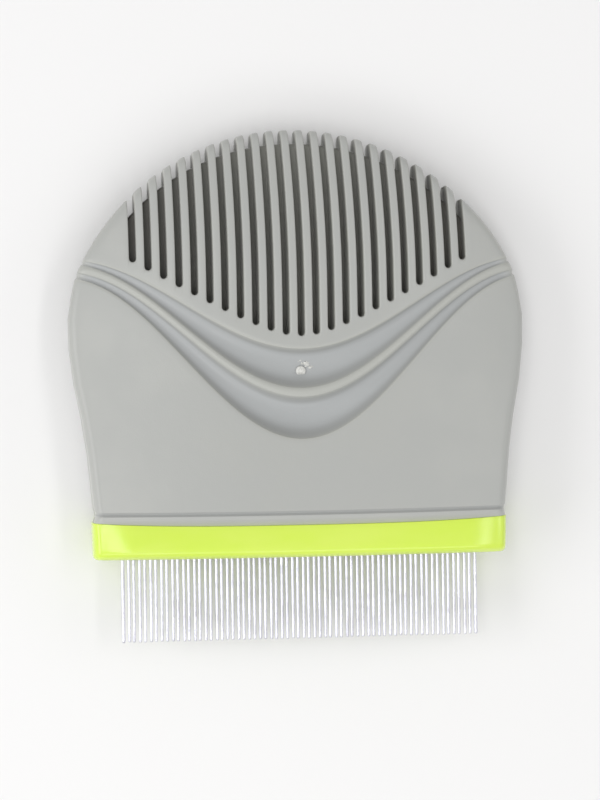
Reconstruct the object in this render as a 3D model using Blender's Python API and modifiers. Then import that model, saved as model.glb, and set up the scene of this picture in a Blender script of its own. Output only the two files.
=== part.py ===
"""Flea comb: a grey grip with finger fins, a lime comb bar and a row of fine steel pins.

Frame: X runs across the comb, Y along it (fins at +Y, pin tips at -Y) and Z through its thickness.
The comb lies on its back, so the flat land of the grip's back is at Z = 0, and the mid-plane, which
holds the pins, the core and the web between the fins, is at Z = HALF_THICKNESS.
"""
import math

import bmesh
import bpy
from mathutils import Matrix, Vector, geometry

MM = 0.001
CLEARANCE = 0.3 * MM            # gap between pieces that rest on each other

# Grip: outline in plan
HALF_LENGTH = 39.55 * MM        # the rim's apex is at +Y, the pin tips at -Y
RIM_RADIUS = 37.4 * MM
RIM_CENTRE = HALF_LENGTH - RIM_RADIUS
RIM_END_ANGLE = math.radians(26.0)      # the rim's arc ends here, above the X axis
RIM_STEPS = 31
SHOULDER = (35.15 * MM, 13.0 * MM)
WIDEST = (35.55 * MM, 8.7 * MM)
UPPER_SIDE = (34.9 * MM, 1.5 * MM)
LOWER_SIDE = (33.3 * MM, -7.0 * MM)
HEEL = (32.4 * MM, -15.0 * MM)
NECK_HALF_WIDTH = 32.15 * MM
NECK_TOP = -20.5 * MM
NECK_END = -21.4 * MM           # lower end of the grip, against the bar

# Grip: thickness
HALF_THICKNESS = 6.2 * MM       # of the flat land, front and back
LAND_HALF_WIDTH = 15.0 * MM     # the crown is flat inside this and curves back outside it
LAND_TOP = 9.0 * MM             # and it is flat below this
SIDE_DROP = 2.2 * MM            # how far the crown has dropped at the widest place
RIM_DROP = 3.0 * MM             # and at the rim's apex
WALL_SHARE = 0.5                # share of the height that is an upright side wall
EDGE_STEPS = ((0.6 * MM, 0.82), (1.5 * MM, 1.0))     # inset, share of the height
CROWN_CUTS_ACROSS = (15.1 * MM, 21.0 * MM, 27.3 * MM)    # where the crown bends, on each side
CROWN_CUTS_ALONG = (9.0 * MM, 15.0 * MM, 21.0 * MM, 27.0 * MM, 33.0 * MM)

# Grip: fins and slots
SLOT_COUNT = 23
SLOT_PITCH = 2.33 * MM
SLOT_RADIUS = 0.55 * MM         # half the slot's width, and its rounded bottom
SLOT_LOWEST = 7.45 * MM         # bottom of the middle slot
SLOT_SPREAD = 0.585             # slope that the row of slot bottoms takes towards the sides
SLOT_ROUNDING = 3.85 * MM       # how softly that row turns at the middle
WEB_HALF_THICKNESS = 1.0 * MM   # floor of the slots, front and back
WEB_RADIUS = RIM_RADIUS - 2.05 * MM     # the fins stand out beyond the web

# Grip: grooves; an edge has its height at the middle and its rise towards the sides
GROOVE_REACH = 36.0 * MM
FIN_LAND_EDGE = (5.5 * MM, 14.1 * MM)
RIDGE_TOP_EDGE = (-0.2 * MM, 19.2 * MM)
RIDGE_LOWER_EDGE = (-1.9 * MM, 19.6 * MM)
HEEL_LAND_EDGE = (-8.1 * MM, 24.9 * MM)
LIP_EDGE = (-19.2 * MM, 0.0)
LIP_LOWER_EDGE = (-19.8 * MM, 0.0)
GROOVE_DEPTH_SHARE = 0.26       # depth of a groove as a share of its width
GROOVE_STEPS = 20
LIP_STEPS = 10

# Comb bar
BAR_HALF_WIDTH = 32.25 * MM
BAR_TOP = NECK_END - CLEARANCE
BAR_BOTTOM = BAR_TOP - 5.05 * MM
BAR_HALF_THICKNESS = 4.6 * MM
BAR_EDGE_RADIUS = 1.5 * MM
BAR_FLOOR = 1.7 * MM            # wall that the pins pass through
CHANNEL_HALF_WIDTH = 29.2 * MM
CHANNEL_HALF_THICKNESS = 1.6 * MM

# Pins: each hairpin of steel wire makes two of them
HAIRPIN_COUNT = 33
PIN_PITCH = 0.85 * MM
PIN_RADIUS = 0.275 * MM
PIN_TIP = -HALF_LENGTH
PIN_TAPER = 0.5 * MM
TIP_SHARE = 0.45                # the tip's radius as a share of the wire's
PIN_HOLE_RADIUS = 0.34 * MM
BEND_CENTRE = BAR_BOTTOM + BAR_FLOOR + 0.1 * MM
BEND_STEPS = 4
HAIRPIN_CROWN = BEND_CENTRE + PIN_PITCH / 2 + PIN_RADIUS

# Core: stiff blade inside the grip, whose lower edge keeps the hairpins in the bar
CORE_HALF_WIDTH = CHANNEL_HALF_WIDTH - CLEARANCE
CORE_HALF_THICKNESS = CHANNEL_HALF_THICKNESS - CLEARANCE
CORE_BOTTOM = HAIRPIN_CROWN + CLEARANCE
CORE_SHOULDER = -10.0 * MM
CORE_TOP = 3.0 * MM
CORE_TOP_HALF_WIDTH = 15.0 * MM
KEY_HOLE_COUNT = 5
KEY_HOLE_RADIUS = 2.5 * MM
KEY_HOLE_SPACING = 11.0 * MM
KEY_HOLE_LEVEL = -14.0 * MM
KEY_HOLE_BOW = 0.6 * MM         # how much the row of holes bows up towards its ends

# Finishes: colour, roughness, metallic
GRIP_FINISH = ((0.47, 0.48, 0.46), 0.6, 0.0)
BAR_FINISH = ((0.71, 0.88, 0.14), 0.22, 0.0)
CORE_FINISH = ((0.30, 0.31, 0.30), 0.5, 0.0)
PIN_FINISH = ((0.80, 0.80, 0.83), 0.25, 1.0)


def clear_scene():
    """Remove the objects that a new file starts with."""
    for item in list(bpy.data.objects):
        bpy.data.objects.remove(item, do_unlink=True)


def make_collection(name, hidden=False):
    """Make a collection of the scene, for parts or for cutters."""
    collection = bpy.data.collections.new(name)
    collection.hide_render = hidden
    bpy.context.scene.collection.children.link(collection)
    return collection


def make_material(name, finish):
    """Make a Principled material of one finish."""
    colour, roughness, metallic = finish
    material = bpy.data.materials.new(name)
    material.use_nodes = True
    shader = material.node_tree.nodes["Principled BSDF"]
    shader.inputs["Base Color"].default_value = (*colour, 1.0)
    shader.inputs["Roughness"].default_value = roughness
    shader.inputs["Metallic"].default_value = metallic
    material.diffuse_color = (*colour, 1.0)
    return material


def add_object(name, data, collection, x=0.0):
    """Put a mesh or curve in the scene with its own zero on the comb's mid-plane."""
    item = bpy.data.objects.new(name, data)
    item.location = (x, 0.0, HALF_THICKNESS)
    collection.objects.link(item)
    return item


def finish_part(item, material):
    """Give a part its material and, on a mesh, smooth shading with crisp edges."""
    item.data.materials.clear()
    item.data.materials.append(material)
    if item.type == "MESH":
        item.data.shade_smooth()
        item.data.set_sharp_from_angle(angle=math.radians(35.0))


def mesh_from_bmesh(name, shape):
    """Store a bmesh as a mesh whose faces point out."""
    bmesh.ops.recalc_face_normals(shape, faces=shape.faces)
    mesh = bpy.data.meshes.new(name)
    shape.to_mesh(mesh)
    shape.free()
    return mesh


def mesh_from_curve(item, collection):
    """Replace a curve object by a mesh object in the same place, with its caps welded."""
    bpy.context.view_layer.update()
    place = item.matrix_world.copy()
    evaluated = item.evaluated_get(bpy.context.evaluated_depsgraph_get())
    mesh = bpy.data.meshes.new_from_object(evaluated)
    name = item.name
    bpy.data.objects.remove(item, do_unlink=True)
    shape = bmesh.new()
    shape.from_mesh(mesh)
    bmesh.ops.remove_doubles(shape, verts=shape.verts, dist=0.001 * MM)
    bmesh.ops.triangulate(shape, faces=shape.faces)
    bmesh.ops.recalc_face_normals(shape, faces=shape.faces)
    shape.to_mesh(mesh)
    shape.free()
    solid = bpy.data.objects.new(name, mesh)
    solid.matrix_world = place
    collection.objects.link(solid)
    return solid


def mark_cutter(item):
    """Show a cutter as wire and leave it out of renders."""
    item.display_type = "WIRE"
    item.hide_render = True
    return item


def boolean(item, cutter):
    """Cut an object with an exact Boolean modifier."""
    modifier = item.modifiers.new(f"cut_{cutter.name}", "BOOLEAN")
    modifier.operation = "DIFFERENCE"
    modifier.solver = "EXACT"
    modifier.object = cutter


def make_box(name, low, high):
    """Make a box mesh between two corners."""
    low = Vector(low)
    high = Vector(high)
    shape = bmesh.new()
    place = Matrix.Translation((low + high) / 2) @ Matrix.Diagonal((*(high - low), 1.0))
    bmesh.ops.create_cube(shape, size=1.0, matrix=place)
    return mesh_from_bmesh(name, shape)


def make_plate(name, outlines, half_thickness, collection):
    """Make a flat plate as a filled 2D curve; the first outline is its edge, the rest are holes."""
    curve = bpy.data.curves.new(name, "CURVE")
    curve.dimensions = "2D"
    curve.fill_mode = "BOTH"
    curve.extrude = half_thickness
    for points in outlines:
        spline = curve.splines.new("POLY")
        spline.points.add(len(points) - 1)
        for point, (x, y) in zip(spline.points, points):
            point.co = (x, y, 0.0, 1.0)
        spline.use_cyclic_u = True
    return mesh_from_curve(add_object(name, curve, collection), collection)


def make_rod(name, path, radii, resolution):
    """Make a round rod along a path as a bevelled curve; its radius may change along it."""
    curve = bpy.data.curves.new(name, "CURVE")
    curve.dimensions = "3D"
    curve.bevel_depth = MM
    curve.bevel_resolution = resolution
    curve.use_fill_caps = True
    spline = curve.splines.new("POLY")
    spline.points.add(len(path) - 1)
    for point, place, radius in zip(spline.points, path, radii):
        point.co = (*place, 1.0)
        point.radius = radius / MM
    return curve


def arc(centre, radius, start, end, steps):
    """Points on an arc, from one angle to another."""
    points = []
    for step in range(steps + 1):
        angle = start + (end - start) * step / steps
        points.append((centre[0] + radius * math.cos(angle), centre[1] + radius * math.sin(angle)))
    return points


def smooth_line(points, steps):
    """Points on a smooth line through the given ones."""
    line = []
    places = [Vector(point) for point in points]
    for index in range(len(places) - 1):
        start = places[index]
        end = places[index + 1]
        before = places[max(index - 1, 0)]
        after = places[min(index + 2, len(places) - 1)]
        start_handle = start + (end - before) / 6
        end_handle = end - (after - start) / 6
        piece = geometry.interpolate_bezier(start, start_handle, end_handle, end, steps + 1)
        line += [(point.x, point.y) for point in piece[:-1]]
    line.append(tuple(places[-1]))
    return line


def grip_outline():
    """Outline of the grip in plan, carried on a little below its lower end."""
    rim = arc((0.0, RIM_CENTRE), RIM_RADIUS, RIM_END_ANGLE, math.pi - RIM_END_ANGLE, RIM_STEPS)
    neck = (NECK_HALF_WIDTH, NECK_TOP)
    side = smooth_line((neck, HEEL, LOWER_SIDE, UPPER_SIDE, WIDEST, SHOULDER, rim[0]), 3)
    foot = (NECK_HALF_WIDTH, NECK_END - 3.0 * MM)
    right = [foot] + side[:-1]
    left = [(-x, y) for x, y in reversed(right)]
    return right + rim + left


def crown_height(x, y):
    """Height of the grip's crown above the mid-plane."""
    across = max(abs(x) - LAND_HALF_WIDTH, 0.0) / (WIDEST[0] - LAND_HALF_WIDTH)
    along = max(y - LAND_TOP, 0.0) / (HALF_LENGTH - LAND_TOP)
    return HALF_THICKNESS - SIDE_DROP * across ** 2 - RIM_DROP * along ** 2


def crown_half():
    """The grip's front half, open at the mid-plane, with rounded edges and no slots or grooves."""
    shape = bmesh.new()
    base = shape.faces.new([shape.verts.new((x, y, 0.0)) for x, y in grip_outline()])
    raised = bmesh.ops.extrude_face_region(shape, geom=[base])["geom"]
    top = [item for item in raised if isinstance(item, bmesh.types.BMFace)]
    set_share(top, WALL_SHARE)
    for inset, share in EDGE_STEPS:
        bmesh.ops.inset_region(shape, faces=top, thickness=inset, use_even_offset=True)
        set_share(top, share)
    cut_into_cells(shape, top[0])
    for vert in shape.verts:
        if vert.co.z > 0.0:
            vert.co.z *= crown_height(vert.co.x, vert.co.y) / MM
    everything = shape.verts[:] + shape.edges[:] + shape.faces[:]
    end = bmesh.ops.bisect_plane(shape, geom=everything, plane_co=(0.0, NECK_END, 0.0),
                                 plane_no=(0.0, -1.0, 0.0), clear_outer=True)["geom_cut"]
    bmesh.ops.holes_fill(shape, edges=[item for item in end if isinstance(item, bmesh.types.BMEdge)])
    base = [face for face in shape.faces if max(vert.co.z for vert in face.verts) < 0.001 * MM]
    bmesh.ops.delete(shape, geom=base, context="FACES_ONLY")
    bmesh.ops.triangulate(shape, faces=shape.faces)
    return mesh_from_bmesh("grip", shape)


def set_share(faces, share):
    """Set a flat region's height as a share of the crown's, with one millimetre as the whole."""
    for face in faces:
        for vert in face.verts:
            vert.co.z = share * MM


def cut_into_cells(shape, face):
    """Cut the crown's flat top face into cells, so that it can take its curve."""
    face.material_index = 1
    planes = [((side * cut, 0.0, 0.0), (1.0, 0.0, 0.0)) for cut in CROWN_CUTS_ACROSS for side in (-1, 1)]
    planes += [((0.0, cut, 0.0), (0.0, 1.0, 0.0)) for cut in CROWN_CUTS_ALONG]
    for place, normal in planes:
        cells = [item for item in shape.faces if item.material_index == 1]
        edges = {edge for cell in cells for edge in cell.edges}
        verts = {vert for cell in cells for vert in cell.verts}
        bmesh.ops.bisect_plane(shape, geom=cells + list(edges) + list(verts),
                               plane_co=place, plane_no=normal)
    for cell in shape.faces:
        cell.material_index = 0


def slot_bottom(x):
    """Where the slot at one place across the grip ends."""
    return SLOT_LOWEST + math.hypot(SLOT_ROUNDING, SLOT_SPREAD * x) - SLOT_ROUNDING


def slot_cutter(collection):
    """All the slots, cut from both faces down to the web and right through beyond it."""
    outlines = []
    for index in range(SLOT_COUNT):
        x = (index - (SLOT_COUNT - 1) / 2) * SLOT_PITCH
        centre = (x, slot_bottom(x) + SLOT_RADIUS)
        top = HALF_LENGTH + MM
        outline = arc(centre, SLOT_RADIUS, math.pi, 2 * math.pi, 4)
        outlines.append(outline + [(x + SLOT_RADIUS, top), (x - SLOT_RADIUS, top)])
    slots = make_plate("slot_cutter", outlines, HALF_THICKNESS + MM, collection)
    shape = bmesh.new()
    bmesh.ops.create_cone(shape, cap_ends=True, segments=120, radius1=WEB_RADIUS,
                          radius2=WEB_RADIUS, depth=2 * WEB_HALF_THICKNESS,
                          matrix=Matrix.Translation((0.0, RIM_CENTRE, 0.0)))
    web = add_object("web_keeper", mesh_from_bmesh("web_keeper", shape), collection)
    boolean(slots, mark_cutter(web))
    return mark_cutter(slots)


def groove_edge(edge, x):
    """Where a groove's edge lies along the comb at one place across it."""
    base, rise = edge
    return base + rise * (1 - math.cos(math.pi * x / GROOVE_REACH)) / 2


def groove_cutter(name, upper, lower, side, steps, collection):
    """Rods that sink into the crown along a groove and run off its sides, front and back."""
    crown_end = side - EDGE_STEPS[0][0] - EDGE_STEPS[1][0]
    stations = [(crown_end * (2 * step / steps - 1), 1.0) for step in range(steps + 1)]
    over_edge = [(side - EDGE_STEPS[0][0], EDGE_STEPS[0][1]), (side + EDGE_STEPS[0][0], WALL_SHARE / 2)]
    stations = [(-x, share) for x, share in reversed(over_edge)] + stations + over_edge
    path = []
    radii = []
    for x, share in stations:
        y = (groove_edge(upper, x) + groove_edge(lower, x)) / 2
        slope = math.pi / 2 * upper[1] / GROOVE_REACH * math.sin(math.pi * x / GROOVE_REACH)
        width = (groove_edge(upper, x) - groove_edge(lower, x)) * math.cos(math.atan(slope))
        depth = GROOVE_DEPTH_SHARE * width + 0.1 * MM
        radius = (width ** 2 / 4 + depth ** 2) / (2 * depth)
        path.append((x, y, share * crown_height(x, y) + radius - depth))
        radii.append(radius)
    rod = add_object(name, make_rod(name, path, radii, 4), collection)
    front = mark_cutter(mesh_from_curve(rod, collection))
    back = mark_cutter(add_object(f"{name}_back", front.data, collection))
    back.rotation_euler.y = math.pi
    return front, back


def core_outlines(grow):
    """Outline and key holes of the core, grown all round for the pocket that it lies in."""
    half = CORE_HALF_WIDTH + grow
    top_half = CORE_TOP_HALF_WIDTH + grow
    bottom = CORE_BOTTOM - grow
    shoulder = CORE_SHOULDER + grow
    top = CORE_TOP + grow
    edge = [(half, bottom), (half, shoulder), (top_half, top)]
    outline = edge + [(-x, y) for x, y in reversed(edge)]
    holes = []
    for index in range(KEY_HOLE_COUNT):
        place = index - (KEY_HOLE_COUNT - 1) / 2
        centre = (place * KEY_HOLE_SPACING, KEY_HOLE_LEVEL + KEY_HOLE_BOW * place ** 2)
        holes.append(arc(centre, KEY_HOLE_RADIUS - grow, 0.0, 2 * math.pi, 18)[:-1])
    return [outline] + holes


def make_core(collection):
    """The stiff blade inside the grip, with holes that the grip's posts pass through."""
    return make_plate("handle_core", core_outlines(0.0), CORE_HALF_THICKNESS, collection)


def make_grip(parts, cutters):
    """The one-piece grip: its halves are mirrored, then slotted, grooved and hollowed for the core."""
    grip = add_object("grip", crown_half(), parts)
    mirror = grip.modifiers.new("back_half", "MIRROR")
    mirror.use_axis = (False, False, True)
    mirror.merge_threshold = 0.001 * MM
    boolean(grip, slot_cutter(cutters))
    shoulder = RIM_RADIUS * math.cos(RIM_END_ANGLE)
    grooves = (("upper_groove", FIN_LAND_EDGE, RIDGE_TOP_EDGE, shoulder, GROOVE_STEPS),
               ("lower_groove", RIDGE_LOWER_EDGE, HEEL_LAND_EDGE, shoulder, GROOVE_STEPS),
               ("lip_groove", LIP_EDGE, LIP_LOWER_EDGE, NECK_HALF_WIDTH, LIP_STEPS))
    for name, upper, lower, side, steps in grooves:
        for cutter in groove_cutter(name, upper, lower, side, steps, cutters):
            boolean(grip, cutter)
    pocket = make_plate("core_pocket", core_outlines(CLEARANCE), CHANNEL_HALF_THICKNESS, cutters)
    boolean(grip, mark_cutter(pocket))
    return grip


def pin_places():
    """Where the pins stand across the comb."""
    count = 2 * HAIRPIN_COUNT
    return [(index - (count - 1) / 2) * PIN_PITCH for index in range(count)]


def make_bar(parts, cutters):
    """The comb bar: a rounded block with a channel behind its pin holes."""
    low = (-BAR_HALF_WIDTH, BAR_BOTTOM, -BAR_HALF_THICKNESS)
    high = (BAR_HALF_WIDTH, BAR_TOP, BAR_HALF_THICKNESS)
    mesh = make_box("comb_bar", low, high)
    shape = bmesh.new()
    shape.from_mesh(mesh)
    seam = (BAR_TOP + BAR_BOTTOM) / 2
    rounded = [edge for edge in shape.edges if min(vert.co.y for vert in edge.verts) < seam]
    bmesh.ops.bevel(shape, geom=rounded, offset=BAR_EDGE_RADIUS, segments=4, profile=0.5,
                    affect="EDGES", material=-1)
    shape.to_mesh(mesh)
    shape.free()
    bar = add_object("comb_bar", mesh, parts)
    low = (-CHANNEL_HALF_WIDTH, BAR_BOTTOM + BAR_FLOOR, -CHANNEL_HALF_THICKNESS)
    high = (CHANNEL_HALF_WIDTH, BAR_TOP + MM, CHANNEL_HALF_THICKNESS)
    boolean(bar, mark_cutter(add_object("channel", make_box("channel", low, high), cutters)))
    boolean(bar, pin_hole_cutter(cutters))
    return bar


def pin_hole_cutter(collection):
    """One row of round cutters, for the holes that the pins pass through."""
    shape = bmesh.new()
    for x in pin_places():
        place = Matrix.Translation((x, BAR_BOTTOM + BAR_FLOOR / 2, 0.0)) @ Matrix.Rotation(math.pi / 2, 4, "X")
        bmesh.ops.create_cone(shape, cap_ends=True, segments=8, radius1=PIN_HOLE_RADIUS,
                              radius2=PIN_HOLE_RADIUS, depth=BAR_FLOOR + MM, matrix=place)
    return mark_cutter(add_object("pin_holes", mesh_from_bmesh("pin_holes", shape), collection))


def make_hairpins(parts):
    """The steel hairpins; their crowns sit in the bar's channel and each leg is one pin."""
    half = PIN_PITCH / 2
    leg = [(half, PIN_TIP, 0.0), (half, PIN_TIP + PIN_TAPER, 0.0)]
    crown = [(x, y, 0.0) for x, y in arc((0.0, BEND_CENTRE), half, 0.0, math.pi, BEND_STEPS)]
    path = leg + crown + [(-x, y, z) for x, y, z in reversed(leg)]
    radii = [PIN_RADIUS] * len(path)
    radii[0] = radii[-1] = TIP_SHARE * PIN_RADIUS
    wire = make_rod("hairpin", path, radii, 1)
    hairpins = []
    for index in range(HAIRPIN_COUNT):
        x = (index - (HAIRPIN_COUNT - 1) / 2) * 2 * PIN_PITCH
        hairpins.append(add_object(f"hairpin_{index + 1:02d}", wire, parts, x))
    return hairpins


def main():
    """Build the comb's pieces."""
    clear_scene()
    parts = make_collection("flea_comb")
    cutters = make_collection("cutters", hidden=True)
    finish_part(make_grip(parts, cutters), make_material("soft_grip_grey", GRIP_FINISH))
    finish_part(make_bar(parts, cutters), make_material("bar_lime", BAR_FINISH))
    finish_part(make_core(parts), make_material("core_dark_grey", CORE_FINISH))
    steel = make_material("pin_steel", PIN_FINISH)
    for hairpin in make_hairpins(parts):
        finish_part(hairpin, steel)


main()
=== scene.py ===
"""Flea comb: a soft grey grip with finger fins, a lime comb bar and a row of steel pins.

Sizes are in millimetres and become metres when a piece is finished. X runs across the comb, Y
along it (fins at +Y, pin tips at -Y) and Z through its thickness. A piece is made as a front half
that is open at the mid-plane, Z = 0, then mirrored and raised to the height at which the comb
lies.
"""
import logging
import math
import random
from collections.abc import Callable, Iterable
from dataclasses import dataclass, field
from enum import Enum

import bmesh
import bpy
from mathutils import Matrix, Vector, noise


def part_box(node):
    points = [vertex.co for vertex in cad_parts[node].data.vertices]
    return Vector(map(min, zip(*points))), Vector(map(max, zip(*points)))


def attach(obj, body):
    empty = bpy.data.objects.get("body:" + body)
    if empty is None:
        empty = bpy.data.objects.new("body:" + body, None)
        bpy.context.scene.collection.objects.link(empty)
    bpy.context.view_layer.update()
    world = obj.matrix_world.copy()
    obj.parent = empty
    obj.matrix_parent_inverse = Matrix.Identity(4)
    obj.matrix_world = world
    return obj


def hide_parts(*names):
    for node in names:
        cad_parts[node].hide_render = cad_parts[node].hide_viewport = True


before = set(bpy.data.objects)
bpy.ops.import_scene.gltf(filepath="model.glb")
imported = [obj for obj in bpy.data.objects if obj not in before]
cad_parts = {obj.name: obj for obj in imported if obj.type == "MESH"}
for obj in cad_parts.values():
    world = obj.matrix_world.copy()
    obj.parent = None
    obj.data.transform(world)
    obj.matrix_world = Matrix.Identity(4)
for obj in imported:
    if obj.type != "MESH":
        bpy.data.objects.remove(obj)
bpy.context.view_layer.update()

MM = 0.001
MERGE_DISTANCE = 0.005
SHARP_ANGLE = 38.0
BODY = "root"
LOG = logging.getLogger("flea_comb")

Colour = tuple[float, float, float]
Place = tuple[float, float, float]
Pair = tuple[float, float]
Station = tuple[float, float]

WHOLE: Pair = (0.0, 1.0)
NOISE_MIDDLE: Pair = (0.35, 0.65)


# ---------------------------------------------------------------------------------------------
# Finishes
# ---------------------------------------------------------------------------------------------

class NodeBoard:
    """A node material while it is being wired."""

    def __init__(self, name: str) -> None:
        """Start a material with an empty Principled shader.

        Args:
            name: Name of the material.
        """
        self.material = bpy.data.materials.new(name)
        self.material.use_nodes = True
        self.tree = self.material.node_tree
        self.shader = self.tree.nodes["Principled BSDF"]
        self.place = self.tree.nodes.new("ShaderNodeTexCoord").outputs["Object"]

    def set(self, **values: float | Colour) -> None:
        """Set constants on the shader, such as coat_weight for Coat Weight.

        Args:
            values: Socket names in lower case with underscores, and their values.
        """
        for key, value in values.items():
            socket = self.shader.inputs[key.replace("_", " ").title().replace("Ior", "IOR")]
            socket.default_value = (*value, 1.0) if socket.type == "RGBA" else value

    def link(self, output: bpy.types.NodeSocket, key: str) -> None:
        """Wire a socket to one of the shader's inputs."""
        self.tree.links.new(output, self.shader.inputs[key])

    def stretched(self, scale: Place) -> bpy.types.NodeSocket:
        """Object coordinates scaled along each axis, for grain that runs one way.

        Args:
            scale: Factor along X, Y and Z.

        Returns:
            The vector socket.
        """
        mapping = self.tree.nodes.new("ShaderNodeMapping")
        mapping.inputs["Scale"].default_value = scale
        self.tree.links.new(self.place, mapping.inputs["Vector"])
        return mapping.outputs["Vector"]

    def noise(self, scale: float, detail: float = 2.0, roughness: float = 0.5,
              vector: bpy.types.NodeSocket | None = None) -> bpy.types.NodeSocket:
        """Noise through the piece.

        Args:
            scale: Features per metre.
            detail: Octaves.
            roughness: Strength of the finer octaves.
            vector: Coordinates, or None for the piece's own.

        Returns:
            The factor socket.
        """
        node = self.tree.nodes.new("ShaderNodeTexNoise")
        node.inputs["Scale"].default_value = scale
        node.inputs["Detail"].default_value = detail
        node.inputs["Roughness"].default_value = roughness
        self.tree.links.new(vector or self.place, node.inputs["Vector"])
        return node.outputs["Fac"]

    def attribute(self, name: str) -> bpy.types.NodeSocket:
        """A value that is stored on the piece's vertices.

        Args:
            name: Name of the attribute.

        Returns:
            Its factor socket.
        """
        node = self.tree.nodes.new("ShaderNodeAttribute")
        node.attribute_name = name
        return node.outputs["Fac"]

    def remap(self, value: bpy.types.NodeSocket, source: Pair,
              target: Pair = WHOLE) -> bpy.types.NodeSocket:
        """Map one range of values to another, with smooth ends.

        Args:
            value: The value to map.
            source: Its range.
            target: The range it becomes.

        Returns:
            The mapped value's socket.
        """
        node = self.tree.nodes.new("ShaderNodeMapRange")
        node.interpolation_type = "SMOOTHSTEP"
        self.tree.links.new(value, node.inputs["Value"])
        for key, number in zip(("From Min", "From Max", "To Min", "To Max"), (*source, *target)):
            node.inputs[key].default_value = number
        return node.outputs["Result"]

    def add(self, first: bpy.types.NodeSocket,
            second: bpy.types.NodeSocket) -> bpy.types.NodeSocket:
        """Add two values.

        Args:
            first: The first value.
            second: The second value.

        Returns:
            The sum's socket.
        """
        node = self.tree.nodes.new("ShaderNodeMath")
        node.operation = "ADD"
        self.tree.links.new(first, node.inputs[0])
        self.tree.links.new(second, node.inputs[1])
        return node.outputs["Value"]

    def blend(self, factor: bpy.types.NodeSocket, first: Colour | bpy.types.NodeSocket,
              second: Colour | bpy.types.NodeSocket) -> bpy.types.NodeSocket:
        """Blend two colours.

        Args:
            factor: Share of the second.
            first: A colour or the socket of one.
            second: A colour or the socket of one.

        Returns:
            The blended colour's socket.
        """
        node = self.tree.nodes.new("ShaderNodeMix")
        node.data_type = "RGBA"
        self.tree.links.new(factor, node.inputs[0])
        for socket, colour in ((node.inputs[6], first), (node.inputs[7], second)):
            if isinstance(colour, tuple):
                socket.default_value = (*colour, 1.0)
            else:
                self.tree.links.new(colour, socket)
        return node.outputs[2]

    def bump(self, height: bpy.types.NodeSocket, depth: float,
             below: bpy.types.NodeSocket | None = None) -> bpy.types.NodeSocket:
        """Turn a value into relief.

        Args:
            height: The value.
            depth: Height of the relief in metres for a value of one.
            below: A coarser relief to lay this one on.

        Returns:
            The normal's socket.
        """
        node = self.tree.nodes.new("ShaderNodeBump")
        node.inputs["Strength"].default_value = 1.0
        node.inputs["Distance"].default_value = depth
        self.tree.links.new(height, node.inputs["Height"])
        if below is not None:
            self.tree.links.new(below, node.inputs["Normal"])
        return node.outputs["Normal"]


@dataclass(frozen=True)
class SoftTouch:
    """Soft grey moulding: matte and faintly mottled, with painted light and shade: a cooler,
    darker painted shade in its grooves, creases and slot floors, and a paler painted highlight on
    its edges.
    """

    land: Colour = (0.430, 0.436, 0.416)
    mottle: Colour = (0.421, 0.428, 0.411)
    # Painted light and shade, in order: a cooler, darker painted shade for the grooves, a paler
    # painted highlight for edges, ridge and lip, a dark painted shade for creases and a near-black
    # painted shade for the slot floors.
    groove_shade: Colour = (0.398, 0.410, 0.412)
    edge: Colour = (0.49, 0.495, 0.445)
    crease: Colour = (0.26, 0.262, 0.25)
    deep: Colour = (0.12, 0.114, 0.10)
    mottle_scale: float = 95.0
    grain_scale: float = 5200.0
    grain_depth: float = 0.000012
    wave_scale: float = 420.0
    wave_depth: float = 0.00003
    roughness: Pair = (0.30, 0.38)

    def material(self, name: str) -> bpy.types.Material:
        """Wire the finish.

        Args:
            name: Name of the material.

        Returns:
            The material.
        """
        board = NodeBoard(name)
        clouds = board.remap(board.noise(self.mottle_scale, 3.0), NOISE_MIDDLE)
        body = board.blend(clouds, self.land, self.mottle)
        # Painted shade on the grooves, creases and slot floors and a painted highlight on the
        # edges, each laid on by its own vertex layer.
        for layer, colour in (("hollow", self.groove_shade), ("crease", self.crease),
                              ("edge", self.edge), ("deep", self.deep)):
            body = board.blend(board.attribute(layer), body, colour)
        board.link(body, "Base Color")
        grain = board.noise(self.grain_scale, roughness=0.6)
        board.link(board.remap(board.add(clouds, grain), (0.4, 1.6), self.roughness), "Roughness")
        waves = board.bump(board.noise(self.wave_scale), self.wave_depth)
        board.link(board.bump(grain, self.grain_depth, waves), "Normal")
        board.set(specular_ior_level=0.42, sheen_weight=0.16, sheen_roughness=0.45)
        return board.material


@dataclass(frozen=True)
class GlossLime:
    """Glossy lime moulding with faint flow marks and a thin clear skin."""

    body: Colour = (0.655, 0.855, 0.085)
    flow: Colour = (0.69, 0.865, 0.115)
    flow_scale: float = 140.0
    flow_stretch: Place = (0.35, 1.0, 1.0)
    haze_scale: float = 900.0
    wave_scale: float = 330.0
    wave_depth: float = 0.00003
    roughness: Pair = (0.20, 0.27)

    def material(self, name: str) -> bpy.types.Material:
        """Wire the finish.

        Args:
            name: Name of the material.

        Returns:
            The material.
        """
        board = NodeBoard(name)
        flow = board.noise(self.flow_scale, 3.0, 0.55, board.stretched(self.flow_stretch))
        board.link(board.blend(board.remap(flow, NOISE_MIDDLE), self.body, self.flow),
                   "Base Color")
        haze = board.noise(self.haze_scale)
        board.link(board.remap(haze, (0.3, 0.7), self.roughness), "Roughness")
        board.link(board.bump(board.noise(self.wave_scale), self.wave_depth), "Normal")
        board.set(coat_weight=0.6, coat_roughness=0.17, subsurface_weight=0.12,
                  subsurface_scale=0.0012, subsurface_radius=(1.0, 1.0, 0.2))
        return board.material


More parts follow.
